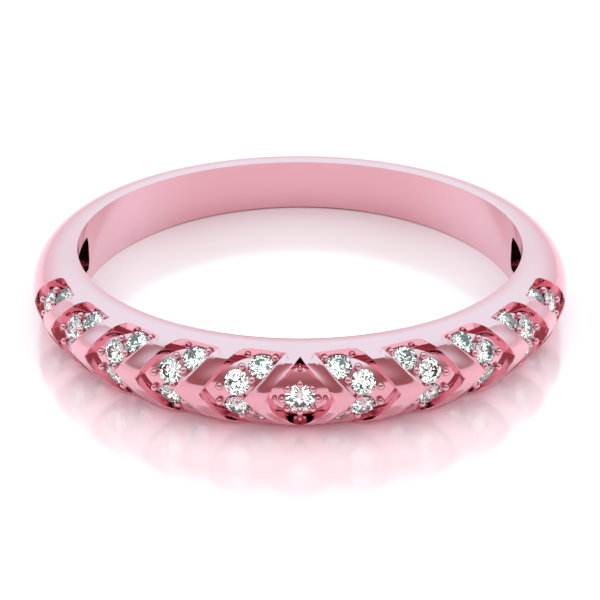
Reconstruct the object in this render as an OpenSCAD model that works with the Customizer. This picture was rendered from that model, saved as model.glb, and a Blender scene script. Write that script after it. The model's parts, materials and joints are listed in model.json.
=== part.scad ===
// Half-round wedding band with chevron pockets of bead-set round stones.
// Origin: centre of the finger bore. +Z runs along the bore's axis, and the
// set front faces -Y. Millimetres throughout.

/* [Band] */
// Inner diameter of the finger bore
bore_d = 17.3; // [14:0.1:22]
// Width along the bore at the set front
width_front = 2.95; // [2.8:0.05:3.6]
// Width along the bore at the plain back
width_back = 2.1; // [1.8:0.05:2.6]
// Wall thickness at the crest of the set front
wall_front = 1.9; // [1.7:0.05:2.3]
// Wall thickness at the crest of the plain back
wall_back = 1.4; // [1.2:0.05:1.7]

/* [Stones] */
// Girdle diameter of the small chevron stones
stone_d = 0.91; // [0.75:0.01:1.1]
// Girdle diameter of the centre stone
centre_d = 1.08; // [0.85:0.01:1.3]
// Gap between the two apex stones of a chevron
stone_gap = 0.03; // [0.02:0.01:0.08]
// Play between a stone and its seat
seat_clearance = 0.008; // [0.004:0.002:0.015]

/* [Setting] */
// Chevrons on each side of the centre lozenge
chevrons = 5; // [1:1:5]
// Distance between neighbouring chevrons, along the crest
chevron_pitch = 2.59; // [2.5:0.01:3.1]
// Distance from the centre stone to the first chevron's apex stones
first_chevron = 2.28; // [2.2:0.02:2.6]
// Depth of the pockets below the domed surface
pocket_depth = 0.3; // [0.24:0.01:0.36]
// Radius of the beads that hold the stones
bead_r = 0.14; // [0.11:0.01:0.17]

/* [Windows] */
// Width of the windows in the inner wall, along the bore
window_w = 1.4; // [1:0.05:1.6]
// Depth of the windows into the wall
window_depth = 0.55; // [0.4:0.05:0.65]
// Length of each window behind a chevron, round the bore
window_l = 1.6; // [1.2:0.05:1.7]
// Length of the window behind the centre stone
centre_window_l = 1; // [0.8:0.05:1.1]
// Length of the last window on each side
end_window_l = 2.6; // [2:0.1:2.8]
// Radius of the light hole below each stone
light_hole_r = 0.2; // [0.12:0.01:0.25]

/* [Hidden] */
SIDES = ["left", "right"];
SPOTS = ["upper_tip", "upper_apex", "lower_apex", "lower_tip"];
$fn = 64;

bore_r = bore_d / 2;
crest_r = bore_r + wall_front;
beyond = 1;

// How late the width tapers from the front to the back: 1 would be straight
taper_power = 1.65;

// The dome is a circle of one radius all round. Its centre, measured out
// from the bore and up from the mid-plane, drops towards the back, where the
// two halves of the band meet in a low roof.
front_x = arc_offset(wall_front, width_front / 2);
body_r = wall_front - front_x;
back_chord = norm([wall_back, width_back / 2]);
back_reach = sqrt(body_r * body_r - back_chord * back_chord / 4);
back_x = wall_back / 2 - width_back / 2 / back_chord * back_reach;
back_drop = wall_back / back_chord * back_reach - width_back / 4;
body_span = 2 * bore_r + front_x + back_x;

// A round brilliant's proportions, as shares of the girdle diameter
table_share = 0.56;
crown_share = 0.145;
girdle_share = 0.03;
pavilion_share = 0.43;
star_share = 0.76;
lower_share = 0.24;
facet_step = 22.5;

// Depth of each stone's table below the dome
apex_sink = 0.165;
tip_sink = 0.185;
centre_sink = 0.175;

// Stones beside the chevron's apex: distance back towards the centre
// lozenge, and arc length over the dome from the crest line
apex_arc = (stone_d + stone_gap) / 2 * body_r / (body_r - apex_sink - crown_share * stone_d);
tip_arc = apex_arc + stone_d - 0.12;
tip_back = stone_d - 0.07;

// Upper half of a chevron's outline from its outer to its inner apex:
// distance away from the centre lozenge in stone diameters, and height in
// dome radii
arm = [
    [1.36, 0], [0.8, 0.525], [0.32, 0.815], [-0.165, 0.945],
    [-1.65, 0.958], [-1.32, 0.67], [-0.9, 0.387], [-0.33, 0]
];

// A quarter of the lozenge's outline, in diameters of the centre stone
lozenge_quarter = [[1.08, 0], [0.83, 0.48], [0.37, 0.9], [0, 1.24]];

// A chevron's beads: distance away from the centre lozenge and arc length
// over the dome, in stone diameters
arm_beads = [[-1.47, 1.9], [-0.14, 1.37], [-0.62, 0.79], [0.68, 0.385]];
crotch_bead = -0.19;
bead_sink = 0.23;
centre_beads = 8;
centre_bead_ring = centre_d / 2 + 0.1;

// The pockets start this far out from the bore, and the windows sit behind
// the middle of each chevron's stones
pocket_start = 0.8;
window_back = 0.35;
end_window_u = 4.5;

gold = [0.91, 0.62, 0.64];
diamond = [0.93, 0.97, 0.97];

function arc_offset(wall, half) = (wall * wall - half * half) / (2 * wall);
// Share of the way from the plain back (0) to the set front (1)
function frontness(a) = (1 + cos(a)) / 2;
function half_width(a) =
    (width_back + (width_front - width_back) * (1 - pow(1 - frontness(a), taper_power))) / 2;
function wall(a) = wall_back + (wall_front - wall_back) * frontness(a);
function dome_x(a) = arc_offset(wall(a), half_width(a));
function dome_r(a) = wall(a) - dome_x(a);
// Angle round the band of a distance along its crest
function crest_angle(u) = u / crest_r * 180 / PI;
// Angle over the dome of an arc length from its crest line
function dome_angle(a, arc) = arc / dome_r(a) * 180 / PI;
function side_sign(side) = side == "left" ? 1 : -1;
function apex_u(n) = first_chevron + (n - 1) * chevron_pitch;
function is_tip(spot) = spot == "upper_tip" || spot == "lower_tip";
function is_upper(spot) = spot == "upper_tip" || spot == "upper_apex";
function stone_name(side, n, spot) = str("stone_", side, "_", n, "_", spot);

// Stands its children on the dome, +Z outwards, at the angle a round the
// band from the front and an arc length over the crest line
module on_dome(a, arc, sink) {
    rotate([0, 0, -90 - a])
        translate([bore_r + dome_x(a), 0, 0])
            rotate([0, -dome_angle(a, arc), 0])
                translate([dome_r(a) - sink, 0, 0])
                    rotate([0, 90, 0])
                        children();
}

// Extrudes a flat outline (round the band, along the bore) out from the bore
module from_bore(a, start, length) {
    rotate([0, 0, -90 - a])
        translate([start, 0, 0])
            rotate([90, 0, 90])
                linear_extrude(length)
                    children();
}

// Places children at one stone of a chevron, turned about its own axis
module at_stone(side, n, spot) {
    u = apex_u(n) - (is_tip(spot) ? tip_back : 0);
    a = side_sign(side) * crest_angle(u);
    arc = (is_upper(spot) ? 1 : -1) * (is_tip(spot) ? tip_arc : apex_arc);
    on_dome(a, arc, (is_tip(spot) ? tip_sink : apex_sink) + crown_share * stone_d)
        rotate([0, 0, facet_step * n + (is_upper(spot) ? 8 : -11)])
            children();
}

module at_centre_stone() {
    on_dome(0, 0, centre_sink + crown_share * centre_d) children();
}

// One half (above the mid-plane) of the domed body, less a skin of metal
module body_half(skin) {
    reach = crest_r + beyond;
    difference() {
        translate([0, (back_x - front_x) / 2, -back_drop / 2])
            rotate([-atan(back_drop / body_span), 0, 0])
                rotate_extrude($fn = 180)
                    translate([norm([body_span, back_drop]) / 2, 0])
                        circle(body_r - skin);
        translate([0, 0, -reach / 2])
            cube([2 * reach, 2 * reach, reach], center = true);
    }
}

module domed_body(skin) {
    body_half(skin);
    mirror([0, 0, 1]) body_half(skin);
}

module chevron_outline(a) {
    upper = [for (p = arm) [p[0] * stone_d, p[1] * dome_r(a)]];
    lower = [for (i = [len(arm) - 2:-1:1]) [upper[i][0], -upper[i][1]]];
    polygon(concat(upper, lower));
}

module lozenge_outline() {
    for (x = [0, 1], y = [0, 1])
        mirror([x, 0]) mirror([0, y])
            polygon(concat([[0, 0]], centre_d * lozenge_quarter));
}

// Every pocket, its walls square to the finger and its floor domed
module pockets() {
    start = bore_r + pocket_start;
    length = wall_front;
    difference() {
        union() {
            from_bore(0, start, length) lozenge_outline();
            for (side = SIDES, n = [1:chevrons]) {
                a = side_sign(side) * crest_angle(apex_u(n));
                from_bore(a, start, length)
                    mirror([side == "left" ? 1 : 0, 0])
                        chevron_outline(a);
            }
        }
        domed_body(pocket_depth);
    }
}

// A bead: a peg with a rounded-off top that stands in the pocket's floor
module bead(a, arc) {
    cap_r = 0.55 * bead_r;
    on_dome(a, arc, bead_sink)
        rotate_extrude($fn = 24)
            polygon([
                [0, -pocket_depth], [bead_r, -pocket_depth], [bead_r, 0.3 * bead_r],
                [cap_r, bead_r], [0, bead_r]
            ]);
}

module chevron_beads(side, n) {
    for (up = [-1, 1], p = arm_beads)
        bead(side_sign(side) * crest_angle(apex_u(n) + p[0] * stone_d), up * p[1] * stone_d);
    bead(side_sign(side) * crest_angle(apex_u(n) + crotch_bead * stone_d), 0);
}

module lozenge_beads() {
    for (i = [0:centre_beads - 1]) {
        turn = i * 360 / centre_beads;
        bead(crest_angle(centre_bead_ring * sin(turn)), centre_bead_ring * cos(turn));
    }
}

// A round-ended window cut into the inner wall
module window(u, length) {
    from_bore(crest_angle(u), bore_r - beyond, beyond + window_depth)
        intersection() {
            square([length, window_w], center = true);
            circle(norm([length, window_w]) / 2 - 0.12);
        }
}

module windows() {
    window(0, centre_window_l);
    for (way = [-1, 1]) {
        for (n = [1:chevrons]) window(way * (apex_u(n) - window_back), window_l);
        window(way * (apex_u(chevrons) + end_window_u), end_window_l);
    }
}

// The space that a stone and its light hole take out of the metal
module seat(d) {
    c = seat_clearance;
    r = d / 2 + c;
    half_girdle = girdle_share * d / 2 + c;
    crown = crown_share * d + c;
    rotate_extrude()
        polygon([
            [0, -pavilion_share * d - c], [r, -half_girdle], [r, half_girdle],
            [table_share * d / 2 + c, crown], [0, crown]
        ]);
    translate([0, 0, -wall_front])
        cylinder(r = light_hole_r, h = wall_front - pavilion_share * d / 2);
}

module seats() {
    at_centre_stone() seat(centre_d);
    for (side = SIDES, n = [1:chevrons], spot = SPOTS)
        at_stone(side, n, spot) seat(stone_d);
}

module band() {
    color(gold)
        difference() {
            union() {
                difference() {
                    domed_body(0);
                    pockets();
                }
                lozenge_beads();
                for (side = SIDES, n = [1:chevrons]) chevron_beads(side, n);
            }
            cylinder(r = bore_r, h = width_front + 2 * beyond, center = true, $fn = 180);
            windows();
            seats();
        }
}

// A round brilliant with its girdle at z = 0 and its table upwards
module brilliant(d) {
    r = d / 2;
    half_girdle = girdle_share * r;
    table_r = table_share * r;
    crown = crown_share * d;
    pavilion = pavilion_share * d;
    star_r = star_share * r;
    star_z = crown + (half_girdle - crown) * (star_r * cos(facet_step) - table_r) / (r - table_r);
    lower_r = lower_share * r;
    lower_z = -pavilion + (pavilion - half_girdle) * lower_r * cos(facet_step) / r;
    function ring(radius, z, count, start) =
        [for (i = [0:count - 1]) let (t = start + i * 360 / count) [radius * cos(t), radius * sin(t), z]];
    points = concat(
        ring(table_r, crown, 8, facet_step),
        ring(star_r, star_z, 8, 0),
        ring(r, half_girdle, 16, 0),
        ring(r, -half_girdle, 16, 0),
        ring(lower_r, lower_z, 8, 0),
        [[0, 0, -pavilion]]
    );
    table = 0;
    star = 8;
    top = 16;
    bottom = 32;
    lower = 48;
    culet = 56;
    faces = concat(
        [[for (i = [7:-1:0]) table + i]],
        [for (i = [0:7]) [table + i, star + i, table + (i + 7) % 8]],
        [for (i = [0:7]) [table + i, star + (i + 1) % 8, top + 2 * i + 1, star + i]],
        [for (i = [0:7]) [star + i, top + 2 * i, top + (2 * i + 15) % 16]],
        [for (i = [0:7]) [star + i, top + 2 * i + 1, top + 2 * i]],
        [for (j = [0:15]) [top + j, top + (j + 1) % 16, bottom + (j + 1) % 16, bottom + j]],
        [for (i = [0:7]) [lower + i, bottom + (2 * i + 15) % 16, bottom + 2 * i]],
        [for (i = [0:7]) [lower + i, bottom + 2 * i, bottom + 2 * i + 1]],
        [for (i = [0:7]) [lower + i, bottom + 2 * i + 1, lower + (i + 1) % 8]],
        [for (i = [0:7]) [lower + i, lower + (i + 1) % 8, culet]]
    );
    polyhedron(points, faces);
}

module stone_centre() {
    color(diamond) at_centre_stone() brilliant(centre_d);
}

module chevron_stone(side, n, spot) {
    color(diamond) at_stone(side, n, spot) brilliant(stone_d);
}

band();
stone_centre();
for (side = SIDES, n = [1:chevrons], spot = SPOTS)
    chevron_stone(side, n, spot);
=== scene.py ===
"""Looks of a rose-gold wedding band with chevron pockets of bead-set round diamonds.

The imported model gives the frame: its origin is the centre of the finger bore, +Z runs along the bore and
the set front faces -Y. The casting is modelled here in full and stands for the plain CAD band. The stones
are the CAD nodes themselves and get their finish here. Lengths are metres and angles are radians.
"""

import json
import math

import bmesh
import bpy
import numpy as np
from bpy.props import FloatProperty, FloatVectorProperty, IntProperty, PointerProperty
from mathutils import Matrix, Vector


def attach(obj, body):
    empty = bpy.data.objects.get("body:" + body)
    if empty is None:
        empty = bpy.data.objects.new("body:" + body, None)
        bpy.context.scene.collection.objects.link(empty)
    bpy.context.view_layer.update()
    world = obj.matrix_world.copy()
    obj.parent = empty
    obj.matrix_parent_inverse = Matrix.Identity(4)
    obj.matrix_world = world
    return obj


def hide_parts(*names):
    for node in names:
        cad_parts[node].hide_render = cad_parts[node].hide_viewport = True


bl_info = {
    "name": "Wedding Band",
    "version": (1, 0, 0),
    "blender": (4, 5, 0),
    "location": "View3D > Sidebar > Band",
    "description": "Models and finishes a wedding band with chevron pockets of bead-set stones",
    "category": "Add Mesh",
}

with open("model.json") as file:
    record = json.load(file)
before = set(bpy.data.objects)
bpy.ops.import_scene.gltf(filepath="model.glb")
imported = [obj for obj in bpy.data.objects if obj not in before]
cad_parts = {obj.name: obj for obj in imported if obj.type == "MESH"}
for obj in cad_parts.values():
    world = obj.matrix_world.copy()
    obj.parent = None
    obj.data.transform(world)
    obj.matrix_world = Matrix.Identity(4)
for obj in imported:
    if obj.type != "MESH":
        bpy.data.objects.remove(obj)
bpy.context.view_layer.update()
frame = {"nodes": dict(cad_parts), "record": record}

MM = 0.001
SIDES = {"left": 1, "right": -1}
SPOTS = ("upper_tip", "upper_apex", "lower_apex", "lower_tip")
BORE = frame["record"]["mounts"][0]["dims"]["r_mm"] * 2 * MM


def linear(hex_colour):
    """An sRGB hex value as linear red, green and blue."""
    channels = [int(hex_colour[i:i + 2], 16) / 255 for i in (1, 3, 5)]
    return tuple(c / 12.92 if c <= 0.04045 else ((c + 0.055) / 1.055) ** 2.4 for c in channels)


def length(name, description, default_mm):
    """A length property whose default is given in millimetres."""
    return FloatProperty(
        name=name, description=description, default=default_mm * MM, unit="LENGTH", precision=5
    )


def colour(name, description, default):
    """A colour property whose default is an sRGB hex value."""
    return FloatVectorProperty(
        name=name, description=description, default=linear(default), subtype="COLOR", size=3, min=0, max=1
    )


class BandSizes(bpy.types.PropertyGroup):
    """Sizes of the domed band and of what is cut into it."""

    bore_d: FloatProperty(
        name="Bore", description="Inner diameter of the finger bore", default=BORE, unit="LENGTH", precision=5
    )
    width_front: length("Front width", "Width along the bore at the set front", 2.95)
    width_back: length("Back width", "Width along the bore at the plain back", 2.1)
    wall_front: length("Front wall", "Wall thickness at the crest of the set front", 1.9)
    wall_back: length("Back wall", "Wall thickness at the crest of the plain back", 1.4)
    rim_round: length("Rim round", "Size of the rounding where the dome meets the bore", 0.14)
    pocket_depth: length("Pocket depth", "Depth of the pockets below the dome", 0.3)
    pocket_edge: length("Pocket edge", "Size of the bright bevel round each pocket", 0.045)
    scoop_deep: length("Scoop depth", "Greatest depth of the scoop in each arm of a rib", 0.11)
    window_w: length("Window width", "Width along the bore of the windows in the inner wall", 1.4)
    window_l: length("Window length", "Length of the window behind each chevron", 1.6)
    window_depth: length("Window depth", "Depth of the windows into the wall", 0.55)


class SettingSizes(bpy.types.PropertyGroup):
    """Sizes and places of the stones and of the beads that hold them."""

    stone_d: length("Stone", "Girdle diameter of the chevron stones", 0.91)
    centre_d: length("Centre stone", "Girdle diameter of the centre stone", 1.08)
    chevrons: IntProperty(name="Chevrons", description="Chevrons on each side", default=5, min=1, max=5)
    chevron_pitch: length("Pitch", "Distance along the crest between chevrons", 2.59)
    first_chevron: length("First chevron", "From the centre stone to the first apex stones", 2.28)
    bead_r: length("Bead radius", "Radius of the beads that hold the stones", 0.14)
    bead_sink: length("Bead depth", "Depth of a bead's centre below the dome", 0.23)


class Finishes(bpy.types.PropertyGroup):
    """Colours of the metal, the stones and the stage."""

    gold: colour("Rose gold", "Colour of the polished rose gold", "#F0BCC6")
    diamond: colour("Diamond", "Tint of the stones", "#FAFFFD")
    floor: colour("Floor", "Colour of the floor", "#F7ECF0")


class Form:
    """The domed section at any angle a round the band, measured from the set front."""

    TAPER_POWER = 1.65  # how late the width tapers towards the back: 1 would be straight

    def __init__(self, sizes):
        self.bore_r = sizes.bore_d / 2
        self.crest_r = self.bore_r + sizes.wall_front
        self.width_front, self.width_back = sizes.width_front, sizes.width_back
        self.wall_front, self.wall_back = sizes.wall_front, sizes.wall_back

    def frontness(self, a):
        return (1 + np.cos(a)) / 2

    def half_width(self, a):
        taper = 1 - (1 - self.frontness(a)) ** self.TAPER_POWER
        return (self.width_back + (self.width_front - self.width_back) * taper) / 2

    def wall(self, a):
        return self.wall_back + (self.wall_front - self.wall_back) * self.frontness(a)

    def dome_x(self, a):
        """How far the dome's centre lies outside the bore's wall."""
        wall = self.wall(a)
        return (wall * wall - self.half_width(a) ** 2) / (2 * wall)

    def dome_r(self, a):
        return self.wall(a) - self.dome_x(a)

    def reach(self, a):
        """Half the angle that the dome spans, from its crest to the rim of the bore."""
        return np.arccos(-self.dome_x(a) / self.dome_r(a))

    def crest_angle(self, u):
        """Angle round the band of a distance along its crest."""
        return u / self.crest_r

    def height(self, x, z, a):
        """How far out the dome lies above the point x, z of a flat outline that stands at the angle a."""
        out = self.crest_r
        for _ in range(3):
            at = a + math.atan2(x, out)
            radius = float(self.dome_r(at))
            rise = math.sqrt(max(radius * radius - z * z, 0))
            out = math.sqrt(max((self.bore_r + float(self.dome_x(at)) + rise) ** 2 - x * x, 0))
        return out

    def depth(self, points):
        """How deep each point lies below the dome. Points is an array of rows x, y, z."""
        a = np.arctan2(-points[:, 0], -points[:, 1])
        out = np.hypot(points[:, 0], points[:, 1]) - self.bore_r - self.dome_x(a)
        return self.dome_r(a) - np.hypot(out, points[:, 2])

    def outward(self, points):
        """The dome's outward normal nearest each point."""
        step = 0.001 * MM
        slope = np.stack(
            [self.depth(points - step * axis) - self.depth(points + step * axis) for axis in np.eye(3)],
            axis=1,
        )
        return slope / np.linalg.norm(slope, axis=1, keepdims=True)

    def on_dome(self, a, arc, sink=0.0):
        """A frame on the dome, +Z outwards, at an arc length over the crest line and below the surface."""
        radius = float(self.dome_r(a))
        return (
            Matrix.Rotation(-math.pi / 2 - a, 4, "Z")
            @ Matrix.Translation((self.bore_r + float(self.dome_x(a)), 0, 0))
            @ Matrix.Rotation(-arc / radius, 4, "Y")
            @ Matrix.Translation((radius - sink, 0, 0))
            @ Matrix.Rotation(math.pi / 2, 4, "Y")
        )


def outwards(a):
    """The direction out from the bore at the angle a."""
    return Vector((-math.sin(a), -math.cos(a), 0))


def along(a):
    """The direction in which the angle grows."""
    return Vector((-math.cos(a), math.sin(a), 0))


# ---------------------------------------------------------------- small modelling helpers


def deselect():
    """Leaves edit mode and selects nothing, so that the next operator acts on its own mesh only."""
    if bpy.context.object and bpy.context.object.mode != "OBJECT":
        bpy.ops.object.mode_set(mode="OBJECT")
    bpy.ops.object.select_all(action="DESELECT")


def take_new(name):
    """Names the object that an operator has just added."""
    obj = bpy.context.object
    obj.name = obj.data.name = name
    return obj


def choose(obj):
    """Makes one object the selected and active one."""
    deselect()
    obj.select_set(True)
    bpy.context.view_layer.objects.active = obj


def select_edges(obj, test):
    """In edit mode, selects the edges whose two ends pass a test on their place."""
    bpy.ops.mesh.select_mode(type="EDGE")
    bpy.ops.mesh.select_all(action="DESELECT")
    mesh = bmesh.from_edit_mesh(obj.data)
    for edge in mesh.edges:
        edge.select_set(all(test(v.co) for v in edge.verts))
    mesh.select_flush(True)
    bmesh.update_edit_mesh(obj.data)


def loft(name, loops):
    """A closed solid through rings of points that all have the same number of points."""
    count = len(loops[0])
    points = [p for ring in loops for p in ring]
    faces = [
        (k * count + i, k * count + (i + 1) % count, (k + 1) * count + (i + 1) % count, (k + 1) * count + i)
        for k in range(len(loops) - 1)
        for i in range(count)
    ]
    top = (len(loops) - 1) * count
    faces += [tuple(range(count))[::-1], tuple(range(top, top + count))]
    mesh = bpy.data.meshes.new(name)
    mesh.from_pydata([tuple(p) for p in points], [], faces)
    obj = bpy.data.objects.new(name, mesh)
    bpy.context.scene.collection.objects.link(obj)
    close_up(obj)
    return obj


def close_up(obj):
    """Merges doubles and turns every face outwards."""
    choose(obj)
    bpy.ops.object.mode_set(mode="EDIT")
    bpy.ops.mesh.select_all(action="SELECT")
    bpy.ops.mesh.remove_doubles(threshold=1e-8)
    bpy.ops.mesh.normals_make_consistent(inside=False)
    bpy.ops.object.mode_set(mode="OBJECT")


def join(name, objects):
    """Joins objects into the first one."""
    deselect()
    for obj in objects:
        obj.select_set(True)
    bpy.context.view_layer.objects.active = objects[0]
    if len(objects) > 1:
        bpy.ops.object.join()
    return take_new(name)


def carve(obj, tool, operation):
    """Applies a boolean and throws the tool away."""
    choose(obj)
    modifier = obj.modifiers.new("carve", "BOOLEAN")
    modifier.operation = operation
    modifier.solver = "MANIFOLD"
    modifier.object = tool
    bpy.ops.object.modifier_apply(modifier=modifier.name)
    mesh = tool.data
    bpy.data.objects.remove(tool)
    bpy.data.meshes.remove(mesh)


def curve_through(points, steps):
    """A smooth line through flat points, with a sharp start and end."""
    points = [Vector(p) for p in points]
    line = []
    for i in range(len(points) - 1):
        p1, p2 = points[i], points[i + 1]
        p0 = points[i - 1] if i else 2 * p1 - p2
        p3 = points[i + 2] if i + 2 < len(points) else 2 * p2 - p1
        chord = (p2 - p1).length
        start = (p2 - p0) * (chord / (chord + (p1 - p0).length))
        end = (p3 - p1) * (chord / (chord + (p3 - p2).length))
        for k in range(steps):
            t = k / steps
            line.append(
                (2 * t**3 - 3 * t**2 + 1) * p1
                + (t**3 - 2 * t**2 + t) * start
                + (3 * t**2 - 2 * t**3) * p2
                + (t**3 - t**2) * end
            )
    return line + [points[-1]]


def widened(outline, width):
    """A closed flat outline with its sides moved outwards."""
    count = len(outline)
    area = sum(outline[i].x * outline[(i + 1) % count].y - outline[(i + 1) % count].x * outline[i].y
               for i in range(count))
    turn = 1 if area > 0 else -1
    moved = []
    for i, p in enumerate(outline):
        back = (p - outline[i - 1]).normalized()
        ahead = (outline[(i + 1) % count] - p).normalized()
        normal = (Vector((back.y, -back.x)) + Vector((ahead.y, -ahead.x))) * turn
        mitre = max(normal.length / 2, 0.5)
        moved.append(p + normal.normalized() * (width / mitre))
    return moved


# ---------------------------------------------------------------- the casting

# Upper half of a chevron's outline, in stone diameters away from the centre lozenge and dome radii up:
# its outer side from the apex to the tip, and its inner side back from the tip to the apex
ARM_OUTER = (
    (1.36, 0), (1.09, 0.276), (0.8, 0.525), (0.32, 0.815), (-0.165, 0.945), (-1.02, 0.966), (-1.8, 0.962)
)
ARM_INNER = ((-1.8, 0.962), (-1.45, 0.765), (-1.2, 0.58), (-0.9, 0.387), (-0.33, 0))
# A quarter of the lozenge's outline, in diameters of the centre stone
LOZENGE = ((1.08, 0), (0.83, 0.48), (0.37, 0.9), (0, 1.24))
# A chevron's beads, in stone diameters: distance away from the lozenge and arc over the dome
ARM_BEADS = ((-1.47, 1.9), (-0.14, 1.37), (-0.62, 0.79), (0.68, 0.385))
CROTCH_BEAD = -0.19
TIP_GRAIN = (-1.68, 2.04)  # the small grain in each pocket's tip, placed as the beads are
LOZENGE_GRAINS = ((0.84, 0), (0, 1.22))  # in diameters of the centre stone: along the crest and over the dome
CENTRE_BEADS = 8
GRAIN_SHARE = 0.72  # size of the small grains in the corners, as a share of a bead
CENTRE_BEAD_GAP = 0.1 * MM  # from the centre stone's girdle to the middle of its beads
# The scoop in each arm of a rib, from its faint start to its crisp end: arcs over the dome, and where its
# near and far sides lie before the chevron's apex stones
SCOOP_ARCS = (0.16 * MM, 1.4 * MM)
SCOOP_NEAR, SCOOP_FAR = (-1.45 * MM, -2.45 * MM), (-0.62 * MM, -1.49 * MM)
SCOOP_NEAR_FIRST = (-1.12 * MM, -2.12 * MM)
SCOOP_STEPS, SCOOP_ACROSS = 26, 14
SCOOP_OVERRUN = 1.06  # its tool's length, as a share of the scoop's
SCOOP_START_LIFT = 0.06  # how far its tool starts above the dome, as a share of its depth
SCOOP_HEADROOM = 0.3 * MM  # how far its tool stands above the dome
POCKET_START = 0.8 * MM  # the pockets reach no nearer to the bore than this
# Stones, as in the CAD model: depth of the table below the dome, and places beside a chevron's apex
APEX_SINK, TIP_SINK, CENTRE_SINK = 0.165 * MM, 0.185 * MM, 0.175 * MM
STONE_GAP = 0.03 * MM
TIP_ARC_STEP, TIP_BACK_STEP = 0.12 * MM, 0.07 * MM
CROWN, GIRDLE, PAVILION, TABLE = 0.145, 0.03, 0.43, 0.56  # shares of the girdle diameter
SEAT_PLAY = 0.008 * MM
LIGHT_HOLE_R = 0.2 * MM
SEAT_REACH, CENTRE_SEAT_REACH = 1.05 * MM, 1.2 * MM  # how far below the girdle a light hole's tool reaches
WINDOW_BACK = 0.35 * MM
CENTRE_WINDOW_L, END_WINDOW_L, END_WINDOW_U = 1.0 * MM, 2.6 * MM, 4.5 * MM


def apex_distance(setting, n):
    """Distance along the crest from the centre stone to the apex stones of chevron n."""
    return setting.first_chevron + (n - 1) * setting.chevron_pitch


def chevron_places(setting):
    """Every chevron as its side's sign and its number."""
    return [(sign, n) for sign in SIDES.values() for n in range(1, setting.chevrons + 1)]


def domed_ring(form, skin, name, arc_points, turns):
    """The dome's full round section, less a skin of metal, spun round the finger and tapered."""
    deselect()
    bpy.ops.mesh.primitive_torus_add(
        major_segments=turns,
        minor_segments=arc_points,
        major_radius=form.bore_r + form.dome_x(0),
        minor_radius=form.dome_r(0) - skin,
    )
    ring = take_new(name)
    for v in ring.data.vertices:
        a = math.atan2(-v.co.x, -v.co.y)
        turn = math.atan2(v.co.z, math.hypot(v.co.x, v.co.y) - form.bore_r - form.dome_x(0))
        out = form.bore_r + form.dome_x(a) + (form.dome_r(a) - skin) * math.cos(turn)
        v.co = outwards(a) * out + Vector((0, 0, (form.dome_r(a) - skin) * math.sin(turn)))
    return ring


def shank(form, sizes):
    """The plain half-round band: a D section spun round the finger, tapered and rounded at its rims."""
    turns, arc_points, flat_cuts = 480, 104, 9
    deselect()
    bpy.ops.mesh.primitive_circle_add(
        vertices=arc_points,
        radius=form.dome_r(0),
        fill_type="NGON",
        location=(form.bore_r + form.dome_x(0), 0, 0),
        rotation=(math.pi / 2, 0, 0),
    )
    band = take_new("band_casting")
    bpy.ops.object.transform_apply(location=True, rotation=True, scale=True)
    bpy.ops.object.mode_set(mode="EDIT")
    bpy.ops.mesh.select_all(action="SELECT")
    bpy.ops.mesh.bisect(plane_co=(form.bore_r, 0, 0), plane_no=(1, 0, 0), clear_inner=True)
    bpy.ops.mesh.select_all(action="SELECT")
    bpy.ops.mesh.delete(type="ONLY_FACE")
    touch = 1e-6
    select_edges(band, lambda co: abs(co.x - form.bore_r) < touch)
    bpy.ops.mesh.subdivide(number_cuts=flat_cuts)
    bpy.ops.mesh.select_all(action="SELECT")
    bpy.ops.mesh.spin(steps=turns, angle=2 * math.pi, center=(0, 0, 0), axis=(0, 0, 1))
    bpy.ops.mesh.select_all(action="SELECT")
    bpy.ops.mesh.remove_doubles(threshold=1e-7)
    bpy.ops.object.mode_set(mode="OBJECT")

    front_reach, front_half = form.reach(0), form.half_width(0)
    for v in band.data.vertices:
        a = math.atan2(-v.co.x, -v.co.y)
        out = math.hypot(v.co.x, v.co.y) - form.bore_r
        if abs(out) < touch:
            place, z = form.bore_r, v.co.z * form.half_width(a) / front_half
        else:
            turn = math.atan2(v.co.z, out - form.dome_x(0)) * form.reach(a) / front_reach
            place = form.bore_r + form.dome_x(a) + form.dome_r(a) * math.cos(turn)
            z = form.dome_r(a) * math.sin(turn)
        v.co = outwards(a) * place + Vector((0, 0, z))

    choose(band)
    bpy.ops.object.mode_set(mode="EDIT")
    select_edges(
        band,
        lambda co: abs(math.hypot(co.x, co.y) - form.bore_r) < touch
        and abs(abs(co.z) - form.half_width(math.atan2(-co.x, -co.y))) < touch,
    )
    bpy.ops.mesh.bevel(offset=sizes.rim_round, segments=5, profile=0.5, affect="EDGES", clamp_overlap=False)
    bpy.ops.object.mode_set(mode="OBJECT")
    close_up(band)
    return band


def chevron_outline(form, setting, a, sign):
    """A chevron's closed outline in the flat, x in the direction in which the angle grows."""
    scale_x, scale_z = setting.stone_d, form.dome_r(a)
    outer = curve_through([(x * scale_x, z * scale_z) for x, z in ARM_OUTER], 5)
    inner = curve_through([(x * scale_x, z * scale_z) for x, z in ARM_INNER], 5)
    upper = outer + inner[1:]
    lower = [Vector((p.x, -p.y)) for p in upper[-2:0:-1]]
    return [Vector((p.x * sign, p.y)) for p in upper + lower]


def lozenge_outline(setting):
    """The centre lozenge's closed outline in the flat."""
    d = setting.centre_d
    quarter = curve_through([(x * d, z * d) for x, z in LOZENGE], 6)
    upper = quarter + [Vector((-p.x, p.y)) for p in quarter[-2::-1]]
    return upper + [Vector((p.x, -p.y)) for p in upper[-2:0:-1]]


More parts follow.
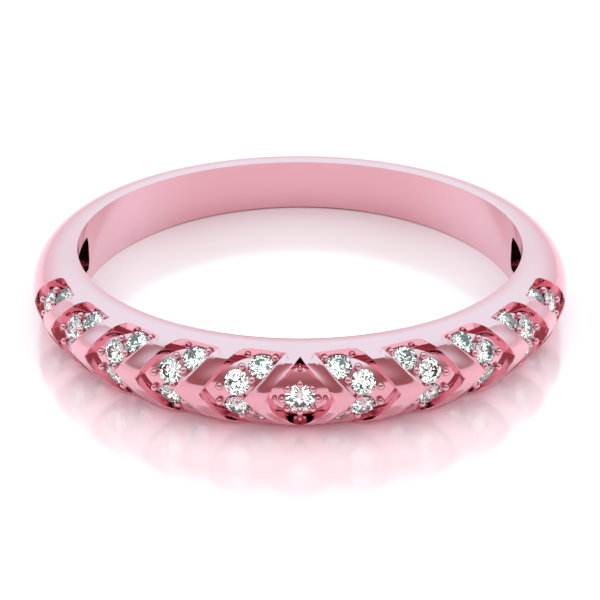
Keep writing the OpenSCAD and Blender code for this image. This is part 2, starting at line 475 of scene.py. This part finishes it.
def pocket_tool(name, form, sizes, outline, a):
    """A prism for one pocket, its walls square to the finger, flared out at the dome to leave a bevel."""
    edge, start, beyond = sizes.pocket_edge, form.bore_r + POCKET_START, form.crest_r + 1 * MM
    flared = widened(outline, 4 * edge)
    out, onward = outwards(a), along(a)
    least = start + 0.02 * MM

    def place(point, height):
        return out * height + onward * point.x + Vector((0, 0, point.y))

    rims = [max(form.height(p.x, p.y, a) - edge, least) for p in outline]
    return loft(
        name,
        [
            [place(p, start) for p in outline],
            [place(p, h) for p, h in zip(outline, rims)],
            [place(p, h + 4 * edge) for p, h in zip(flared, rims)],
            [place(p, beyond) for p in flared],
        ],
    )


def pockets(form, sizes, setting):
    """The tools for the lozenge and every chevron, their floors following the dome."""
    tools = [pocket_tool("pocket", form, sizes, lozenge_outline(setting), 0)]
    for sign, n in chevron_places(setting):
        a = sign * form.crest_angle(apex_distance(setting, n))
        tools.append(pocket_tool("pocket", form, sizes, chevron_outline(form, setting, a, sign), a))
    tool = join("pockets", tools)
    carve(tool, domed_ring(form, sizes.pocket_depth, "floors", 128, 480), "DIFFERENCE")
    return tool


def scoop_depth(s):
    """Depth of a scoop along its arm, s from 0 at its faint start to 1 at its crisp end, as a share of the
    greatest. It lies above the dome just before the start and past the end, so that the cut is clean."""
    return 6.75 * s * s * (1 - s) - SCOOP_START_LIFT * (1 - s)


def scoop_bow(t, first):
    """Depth of a scoop across its arm, t from 0 at its near side to 1 at its far side, as a share."""
    if first:
        return 4 * t * (1 - t) * 0.75 + 0.45 * t**3 - 0.05
    return 1 - (1 - t) ** 2 * 0.5 - t**3 * 0.55


def scoop_tool(form, sizes, setting, sign, n, up):
    """What is scooped out of one arm of the rib before chevron n: crisp at its outer end and beside the
    chevron, fading out towards the rib's own apex."""
    apex = apex_distance(setting, n)
    near_start, near_end = SCOOP_NEAR_FIRST if n == 1 else SCOOP_NEAR
    far_start, far_end = SCOOP_FAR
    loops = []
    for i in range(SCOOP_STEPS + 1):
        s = SCOOP_OVERRUN * i / SCOOP_STEPS
        arc = SCOOP_ARCS[0] + (SCOOP_ARCS[1] - SCOOP_ARCS[0]) * s
        near, far = near_start + (near_end - near_start) * s, far_start + (far_end - far_start) * s
        deep = sizes.scoop_deep * scoop_depth(s)
        row = []
        for j in range(SCOOP_ACROSS + 1):
            t = j / SCOOP_ACROSS
            row.append((near + (far - near) * t, deep * scoop_bow(t, n == 1)))
        points = row + [(u, -SCOOP_HEADROOM) for u, _ in row[::-1]]
        loops.append([
            form.on_dome(sign * form.crest_angle(apex + u), up * arc, depth).translation
            for u, depth in points
        ])
    return loft("scoop", loops)


def scoops(form, sizes, setting):
    """A tool for each arm of each rib."""
    return join(
        "scoops",
        [
            scoop_tool(form, sizes, setting, sign, n, up)
            for sign, n in chevron_places(setting)
            for up in (-1, 1)
        ],
    )


def beads(form, setting):
    """Every bead: a ball on a short stem that stands in its pocket's floor."""
    d = setting.stone_d
    places, grains = [], []
    for sign, n in chevron_places(setting):
        u = apex_distance(setting, n)
        for up in (-1, 1):
            places += [(sign * (u + x * d), up * arc * d) for x, arc in ARM_BEADS]
            grains.append((sign * (u + TIP_GRAIN[0] * d), up * TIP_GRAIN[1] * d))
        places.append((sign * (u + CROTCH_BEAD * d), 0))
    for sign in (-1, 1):
        grains += [(sign * x * setting.centre_d, sign * arc * setting.centre_d) for x, arc in LOZENGE_GRAINS]
    ring = setting.centre_d / 2 + CENTRE_BEAD_GAP
    for i in range(CENTRE_BEADS):
        turn = i * 2 * math.pi / CENTRE_BEADS
        places.append((ring * math.sin(turn), ring * math.cos(turn)))

    deselect()
    bpy.ops.mesh.primitive_uv_sphere_add(segments=20, ring_count=12, radius=setting.bead_r)
    ball = take_new("bead")
    for v in ball.data.vertices:
        if v.co.z < 0:
            v.co.z *= 1.6
    balls = []
    for i, (u, arc) in enumerate(places + grains):
        copy = bpy.data.objects.new("bead", ball.data.copy())
        bpy.context.scene.collection.objects.link(copy)
        if i >= len(places):
            copy.data.transform(Matrix.Scale(GRAIN_SHARE, 4))
        copy.data.transform(form.on_dome(form.crest_angle(u), arc, setting.bead_sink))
        balls.append(copy)
    bpy.data.objects.remove(ball)
    return join("beads", balls)


def stone_frames(form, setting, spot):
    """Frames of one kind of stone in every chevron, at the middle of its girdle."""
    d = setting.stone_d
    tip, up = spot.endswith("tip"), 1 if spot.startswith("upper") else -1
    front = float(form.dome_r(0))
    apex_arc = (d + STONE_GAP) / 2 * front / (front - APEX_SINK - CROWN * d)
    arc = up * (apex_arc + d - TIP_ARC_STEP if tip else apex_arc)
    back = d - TIP_BACK_STEP if tip else 0
    sink = (TIP_SINK if tip else APEX_SINK) + CROWN * d
    return [
        form.on_dome(sign * form.crest_angle(apex_distance(setting, n) - back), arc, sink)
        for sign, n in chevron_places(setting)
    ]


def seat_tool(matrix, d, depth):
    """What one stone and its light hole take out of the metal."""
    r, girdle = d / 2 + SEAT_PLAY, GIRDLE * d / 2 + SEAT_PLAY
    cone = PAVILION * d + SEAT_PLAY
    hole_z = -cone + (cone - girdle) * LIGHT_HOLE_R / r
    levels = (
        (LIGHT_HOLE_R, -depth), (LIGHT_HOLE_R, hole_z), (r, -girdle), (r, girdle),
        (TABLE * d / 2, CROWN * d + SEAT_PLAY), (TABLE * d / 2, CROWN * d + 2 * SEAT_PLAY),
    )
    turns = [i * math.pi / 16 for i in range(32)]
    rings = [[matrix @ Vector((w * math.cos(t), w * math.sin(t), z)) for t in turns] for w, z in levels]
    return loft("seat", rings)


def window_tool(form, sizes, u, long):
    """A window in the inner wall, its ends rounded."""
    a = form.crest_angle(u)
    reach = math.hypot(long, sizes.window_w) / 2 - 0.12 * MM
    turns = [i * math.pi / 40 for i in range(80)]
    outline = [
        Vector((
            max(-long / 2, min(long / 2, reach * math.cos(t))),
            max(-sizes.window_w / 2, min(sizes.window_w / 2, reach * math.sin(t))),
        ))
        for t in turns
    ]
    levels = (form.bore_r - 0.5 * MM, form.bore_r + sizes.window_depth)
    return loft(
        "window", [[outwards(a) * h + along(a) * p.x + Vector((0, 0, p.y)) for p in outline] for h in levels]
    )


SMOOTH_ANGLE = math.radians(28)
ON_SURFACE = 0.004 * MM  # a corner this near to a true surface lies on it
SAME_WAY = 0.93  # least dot product of a face's normal and the true one


def shade(band, form, sizes):
    """Sets smooth normals: the true surface's where a face lies on one, the mesh's own elsewhere."""
    choose(band)
    bpy.ops.object.shade_smooth_by_angle(angle=SMOOTH_ANGLE)
    mesh = band.data
    corners = np.empty(len(mesh.loops) * 3, dtype=np.float32)
    mesh.corner_normals.foreach_get("vector", corners)
    corners = corners.reshape(-1, 3).astype(float)
    points = np.empty(len(mesh.vertices) * 3, dtype=np.float32)
    mesh.vertices.foreach_get("co", points)
    points = points.reshape(-1, 3).astype(float)
    loop_vert = np.empty(len(mesh.loops), dtype=np.int32)
    mesh.loops.foreach_get("vertex_index", loop_vert)
    loop_face = np.repeat(np.arange(len(mesh.polygons)), [p.loop_total for p in mesh.polygons])
    face_normal = np.empty(len(mesh.polygons) * 3, dtype=np.float32)
    mesh.polygons.foreach_get("normal", face_normal)
    face_normal = face_normal.reshape(-1, 3).astype(float)

    def take_over(near, normals):
        """Uses the true normals on the faces whose every corner is near and which face the same way."""
        miss = np.zeros(len(mesh.polygons), dtype=bool)
        np.logical_or.at(miss, loop_face, ~near[loop_vert])
        wrong = np.einsum("ij,ij->i", normals[loop_vert], face_normal[loop_face]) < SAME_WAY
        np.logical_or.at(miss, loop_face, wrong)
        use = ~miss[loop_face]
        corners[use] = normals[loop_vert][use]

    depth, outward = form.depth(points), form.outward(points)
    take_over(abs(depth) < ON_SURFACE, outward)
    take_over(abs(depth - sizes.pocket_depth) < ON_SURFACE, outward)
    radius = np.hypot(points[:, 0], points[:, 1])
    inwards = np.stack([-points[:, 0] / radius, -points[:, 1] / radius, 0 * radius], axis=1)
    take_over(abs(radius - form.bore_r) < ON_SURFACE, inwards)
    mesh.normals_split_custom_set([tuple(n) for n in corners])


class BAND_OT_cast(bpy.types.Operator):
    """Models the rose-gold casting with its pockets, ribs, beads, seats and windows"""

    bl_idname = "wedding_band.cast"
    bl_label = "Cast Band"

    def execute(self, context):
        sizes, setting = context.scene.band_sizes, context.scene.setting_sizes
        form = Form(sizes)
        band = shank(form, sizes)
        carve(band, pockets(form, sizes, setting), "DIFFERENCE")
        carve(band, scoops(form, sizes, setting), "DIFFERENCE")
        carve(band, beads(form, setting), "UNION")
        for spot in SPOTS:
            tools = [seat_tool(m, setting.stone_d, SEAT_REACH) for m in stone_frames(form, setting, spot)]
            if spot == "upper_apex":
                centre = form.on_dome(0, 0, CENTRE_SINK + CROWN * setting.centre_d)
                tools.append(seat_tool(centre, setting.centre_d, CENTRE_SEAT_REACH))
            carve(band, join("seats", tools), "DIFFERENCE")
        windows = [window_tool(form, sizes, 0, CENTRE_WINDOW_L)]
        for sign, n in chevron_places(setting):
            u = apex_distance(setting, n) - WINDOW_BACK
            windows.append(window_tool(form, sizes, sign * u, sizes.window_l))
        for sign in SIDES.values():
            u = apex_distance(setting, setting.chevrons) + END_WINDOW_U
            windows.append(window_tool(form, sizes, sign * u, END_WINDOW_L))
        carve(band, join("windows", windows), "DIFFERENCE")
        shade(band, form, sizes)
        band.data.materials.clear()
        band.data.materials.append(polished_rose_gold(context.scene.finishes))
        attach(band, "root")
        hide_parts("band")
        return {"FINISHED"}


# ---------------------------------------------------------------- materials


def add(tree, kind, settings=None, **links):
    """Adds a node with its settings, and links sockets or sets values on its named inputs."""
    node = tree.nodes.new(kind)
    for name, value in (settings or {}).items():
        setattr(node, name, value)
    for name, value in links.items():
        socket = node.inputs[name.replace("_", " ")]
        if isinstance(value, bpy.types.NodeSocket):
            tree.links.new(value, socket)
        else:
            socket.default_value = value
    return node


MIX_A, MIX_B, MIX_RESULT = 6, 7, 2  # a Mix node's colour sockets, which share their names with its other ones


def new_material(name):
    """A node material without any nodes, and its tree."""
    material = bpy.data.materials.new(name)
    material.use_nodes = True
    material.node_tree.nodes.clear()
    return material, material.node_tree


def polished_rose_gold(finishes):
    """Cast 14 karat rose gold, buffed to a mirror: a warm pink reflection with faint wheel marks."""
    material, tree = new_material("polished_rose_gold")
    place = add(tree, "ShaderNodeTexCoord").outputs["Object"]
    cloud = add(tree, "ShaderNodeTexNoise", Vector=place, Scale=1 / (1.6 * MM), Detail=2.0)
    tint = add(tree, "ShaderNodeValToRGB", Fac=cloud.outputs["Fac"])
    base = finishes.gold
    tint.color_ramp.elements[0].color = (base[0] * 0.97, base[1] * 0.96, base[2] * 0.97, 1)
    tint.color_ramp.elements[1].color = (base[0], base[1], base[2], 1)
    marks = add(tree, "ShaderNodeTexNoise", Vector=place, Scale=1 / (0.05 * MM), Detail=3.0)
    haze = add(tree, "ShaderNodeMapRange", Value=marks.outputs["Fac"], To_Min=0.035, To_Max=0.085)
    bump = add(tree, "ShaderNodeBump", Height=marks.outputs["Fac"], Strength=0.05, Distance=0.002 * MM)
    shader = add(
        tree, "ShaderNodeBsdfPrincipled", Base_Color=tint.outputs["Color"], Metallic=1.0,
        Roughness=haze.outputs["Result"], Normal=bump.outputs["Normal"],
    )
    add(tree, "ShaderNodeOutputMaterial", Surface=shader.outputs["BSDF"])
    return material


def cut_diamond(finishes):
    """Brilliant-cut diamond: clear, with the high index that breaks the light into bright and dark facets."""
    material, tree = new_material("cut_diamond")
    place = add(tree, "ShaderNodeTexCoord").outputs["Object"]
    cloud = add(tree, "ShaderNodeTexNoise", Vector=place, Scale=1 / (0.3 * MM), Detail=2.0)
    tint = add(tree, "ShaderNodeValToRGB", Fac=cloud.outputs["Fac"])
    base = finishes.diamond
    tint.color_ramp.elements[0].color = (base[0] * 0.98, base[1], base[2] * 0.99, 1)
    tint.color_ramp.elements[1].color = (base[0], base[1], base[2], 1)
    shader = add(
        tree, "ShaderNodeBsdfPrincipled", Base_Color=tint.outputs["Color"], Roughness=0.0, IOR=2.417,
        Transmission_Weight=1.0,
    )
    add(tree, "ShaderNodeOutputMaterial", Surface=shader.outputs["BSDF"])
    return material


def glossy_floor(finishes):
    """Sprayed acrylic sheet: nearly white, with a soft reflection. Its high index makes it strong."""
    material, tree = new_material("white_acrylic")
    place = add(tree, "ShaderNodeTexCoord").outputs["Object"]
    cloud = add(tree, "ShaderNodeTexNoise", Vector=place, Scale=1 / (3 * MM), Detail=2.0)
    haze = add(tree, "ShaderNodeMapRange", Value=cloud.outputs["Fac"], To_Min=0.15, To_Max=0.18)
    shader = add(
        tree, "ShaderNodeBsdfPrincipled", Base_Color=(*finishes.floor, 1),
        Roughness=haze.outputs["Result"], IOR=2.8,
    )
    add(tree, "ShaderNodeOutputMaterial", Surface=shader.outputs["BSDF"])
    return material


class BAND_OT_stones(bpy.types.Operator):
    """Gives every stone its finish"""

    bl_idname = "wedding_band.stones"
    bl_label = "Finish Stones"

    def execute(self, context):
        material = cut_diamond(context.scene.finishes)
        stones = [obj for name, obj in frame["nodes"].items() if name.startswith("stone_")]
        if not stones:
            raise RuntimeError("the packed model has no stones")
        for stone in stones:
            for slot in stone.material_slots:
                slot.material = material
        return {"FINISHED"}


# ---------------------------------------------------------------- stage

# Light of each part of the studio, as linear red, green and blue
FILL_HIGH, FILL_LOW = (1.2, 1.42, 1.38), (2.7, 0.85, 1.25)
WALL_LIGHT, CEILING_LIGHT = (0.9, 0.86, 0.9), (0.98, 1.42, 1.42)
DIM_LOW, DIM_HIGH = (0.36, 0.165, 0.165), (0.52, 0.28, 0.3)
LAMP_LIGHT, GAP_LIGHT = (2.3, 2.4, 2.36), (0.04, 0.08, 0.07)
# Where one part passes into the next, as the height (sine of the elevation) where it starts and ends
WALL_TO_CEILING, DIM_LOW_TO_HIGH, FILL_LOW_TO_HIGH = (0.05, 0.6), (0.4, 0.8), (0.05, 0.7)
DIM_BOTTOM, DIM_TOP = (-0.02, 0.18), (0.97, 0.84)
DIM_FRONT = (0.4, -0.7)  # the dim gap's Y direction, from its faint sides to its full strength in front
LAMP_SCALE, LAMP_TO_GAP = 6.0, (0.48, 0.62)
FLOOR_SIZE, FLOOR_GAP = 3, 0.002 * MM
CAMERA_ELEVATION, CAMERA_LENS, CAMERA_SHIFT = math.radians(25.429), 119.7, -0.0491
CAMERA_BORES = 9  # the camera's distance from the middle of the bore, in bore radii


def mixed(tree, factor, first, second):
    """A colour between two colours, each of which is a fixed value or another node's output."""
    node = add(tree, "ShaderNodeMix", {"data_type": "RGBA"})
    tree.links.new(factor, node.inputs["Factor"])
    for index, value in ((MIX_A, first), (MIX_B, second)):
        if isinstance(value, bpy.types.NodeSocket):
            tree.links.new(value, node.inputs[index])
        else:
            node.inputs[index].default_value = (*value, 1)
    return node.outputs[MIX_RESULT]


def fade(tree, value, start, end):
    """Rises smoothly from 0 to 1 as a value goes from start to end."""
    node = add(
        tree, "ShaderNodeMapRange", {"interpolation_type": "SMOOTHSTEP"},
        Value=value, From_Min=start, From_Max=end,
    )
    return node.outputs["Result"]


def studio_world():
    """A studio with a cool white ceiling, white walls and a dim rosy gap in front of the ring. Mirrored,
    diffuse and refracted light each see their own version of it."""
    world = bpy.data.worlds.new("studio")
    world.use_nodes = True
    tree = world.node_tree
    tree.nodes.clear()
    direction = add(tree, "ShaderNodeTexCoord").outputs["Generated"]
    parts = add(tree, "ShaderNodeSeparateXYZ", Vector=direction).outputs
    up, across = parts["Z"], parts["Y"]
    # What the metal and the floor mirror
    gap = fade(tree, across, *DIM_FRONT)
    for edge in (DIM_BOTTOM, DIM_TOP):
        part = add(tree, "ShaderNodeMath", {"operation": "MULTIPLY"})
        tree.links.new(gap, part.inputs[0])
        tree.links.new(fade(tree, up, *edge), part.inputs[1])
        gap = part.outputs["Value"]
    room = mixed(tree, fade(tree, up, *WALL_TO_CEILING), WALL_LIGHT, CEILING_LIGHT)
    room = mixed(tree, gap, room, mixed(tree, fade(tree, up, *DIM_LOW_TO_HIGH), DIM_LOW, DIM_HIGH))
    # What lights the floor: a white room with a rosy glow low down, which tints the shadow under the ring
    fill = mixed(tree, fade(tree, up, *FILL_LOW_TO_HIGH), FILL_LOW, FILL_HIGH)
    # What the stones refract: small lamps with dark gaps between them, which makes them sparkle
    lamps = add(tree, "ShaderNodeTexVoronoi", Vector=direction, Scale=LAMP_SCALE)
    sparkle = mixed(tree, fade(tree, lamps.outputs["Distance"], *LAMP_TO_GAP), LAMP_LIGHT, GAP_LIGHT)
    ray = add(tree, "ShaderNodeLightPath").outputs
    light = mixed(tree, ray["Is Glossy Ray"], fill, room)
    light = mixed(tree, ray["Is Transmission Ray"], light, sparkle)
    back = add(tree, "ShaderNodeBackground", Color=light)
    add(tree, "ShaderNodeOutputWorld", Surface=back.outputs["Background"])
    return world


class BAND_OT_stage(bpy.types.Operator):
    """Sets the floor, the lights and the camera"""

    bl_idname = "wedding_band.stage"
    bl_label = "Set Stage"

    def execute(self, context):
        scene = context.scene
        form = Form(scene.band_sizes)
        front_z, back_z = float(form.dome_r(0)), float(form.dome_r(math.pi))
        front_y = form.bore_r + float(form.dome_x(0))
        back_y = form.bore_r + float(form.dome_x(math.pi))
        tilt = math.atan2(front_z - back_z, front_y + back_y)
        deselect()
        bpy.ops.mesh.primitive_plane_add(size=FLOOR_SIZE)
        floor = take_new("floor")
        floor.data.transform(
            Matrix.Translation((0, -front_y, -front_z - FLOOR_GAP))
            @ Matrix.Rotation(tilt, 4, "X")
            @ Matrix.Translation((0, front_y, 0))
        )
        floor.data.materials.append(glossy_floor(scene.finishes))

        scene.world = studio_world()

        distance = CAMERA_BORES * form.bore_r
        camera = bpy.data.cameras.new("camera")
        camera.lens, camera.sensor_width = CAMERA_LENS, 36
        camera.shift_y = CAMERA_SHIFT
        camera.clip_start, camera.clip_end = 1 * MM, 10
        rig = bpy.data.objects.new("camera", camera)
        rig.location = (0, -distance * math.cos(CAMERA_ELEVATION), distance * math.sin(CAMERA_ELEVATION))
        rig.rotation_euler = (math.pi / 2 - CAMERA_ELEVATION, 0, 0)
        scene.collection.objects.link(rig)
        scene.camera = rig
        scene.view_settings.view_transform = "Standard"
        return {"FINISHED"}


class BAND_PT_panel(bpy.types.Panel):
    """Lists the sizes, the finishes and the steps in order"""

    bl_idname = "BAND_PT_panel"
    bl_label = "Wedding Band"
    bl_space_type = "VIEW_3D"
    bl_region_type = "UI"
    bl_category = "Band"

    def draw(self, context):
        for group in (context.scene.band_sizes, context.scene.setting_sizes, context.scene.finishes):
            box = self.layout.box()
            for name in group.__annotations__:
                box.prop(group, name)
        for step in STEPS:
            self.layout.operator(step.bl_idname)


STEPS = (BAND_OT_stage, BAND_OT_cast, BAND_OT_stones)
CLASSES = (BandSizes, SettingSizes, Finishes, *STEPS, BAND_PT_panel)


def register():
    for cls in CLASSES:
        bpy.utils.register_class(cls)
    bpy.types.Scene.band_sizes = PointerProperty(type=BandSizes)
    bpy.types.Scene.setting_sizes = PointerProperty(type=SettingSizes)
    bpy.types.Scene.finishes = PointerProperty(type=Finishes)


def unregister():
    del bpy.types.Scene.finishes, bpy.types.Scene.setting_sizes, bpy.types.Scene.band_sizes
    for cls in reversed(CLASSES):
        bpy.utils.unregister_class(cls)


def main():
    register()
    bpy.ops.wedding_band.stage()
    bpy.ops.wedding_band.cast()
    bpy.ops.wedding_band.stones()


if __name__ == "__main__":
    main()
